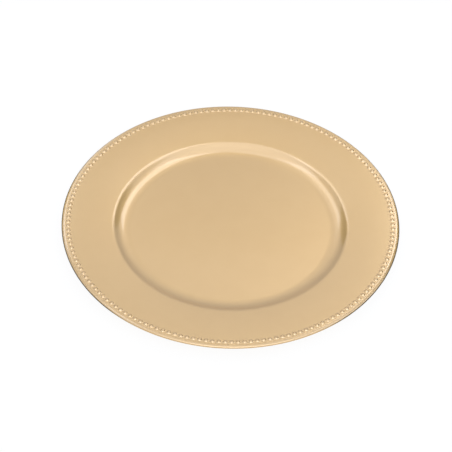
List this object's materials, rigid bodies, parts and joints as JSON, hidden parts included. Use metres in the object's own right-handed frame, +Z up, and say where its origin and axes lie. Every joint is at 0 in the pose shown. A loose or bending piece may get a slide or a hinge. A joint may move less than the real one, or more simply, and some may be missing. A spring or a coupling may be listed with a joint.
{
  "type": "charger plate",
  "caption": "Round plastic charger plate with a shallow flat well, a broad curved rim, a beaded border and a low foot ring, finished in satin metallic gold.",
  "frame": {"origin": "on the table, under the centre of the foot ring", "axes": "+Z up along the plate's axis; X and Y lie in the table, and any direction in it is alike"},
  "size_m": [0.33, 0.33, 0.016],
  "materials": {
    "gold_lacquer": "satin metallic gold lacquer on moulded polypropylene"
  },
  "bodies": {
    "root": {"plate": "gold_lacquer"}
  },
  "joints": []
}
